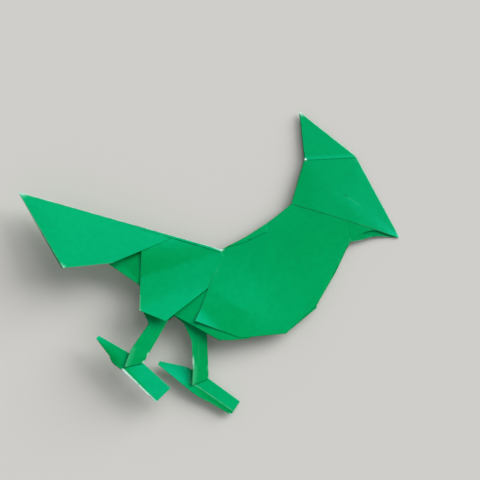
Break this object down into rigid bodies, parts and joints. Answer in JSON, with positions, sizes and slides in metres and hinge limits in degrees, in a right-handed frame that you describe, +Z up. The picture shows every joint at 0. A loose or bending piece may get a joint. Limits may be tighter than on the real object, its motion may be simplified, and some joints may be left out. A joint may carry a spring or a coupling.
{
  "type": "origami crested bird",
  "caption": "Folded paper songbird with a pointed crest, a long tapering tail, thigh flaps and narrow legs, lying on its side.",
  "frame": {"origin": "centre of the bounding box in X and Y, on the surface that the bird lies on", "axes": "+X from the tail towards the beak, +Y from the feet towards the crest, +Z up from the surface, out of the bird's upper side"},
  "size_m": [0.1478, 0.118, 0.0191],
  "materials": {
    "green_paper": "smooth dyed paper with a white core that shows at cut edges"
  },
  "bodies": {
    "root": {"folded_sheet": "green_paper"}
  },
  "joints": []
}
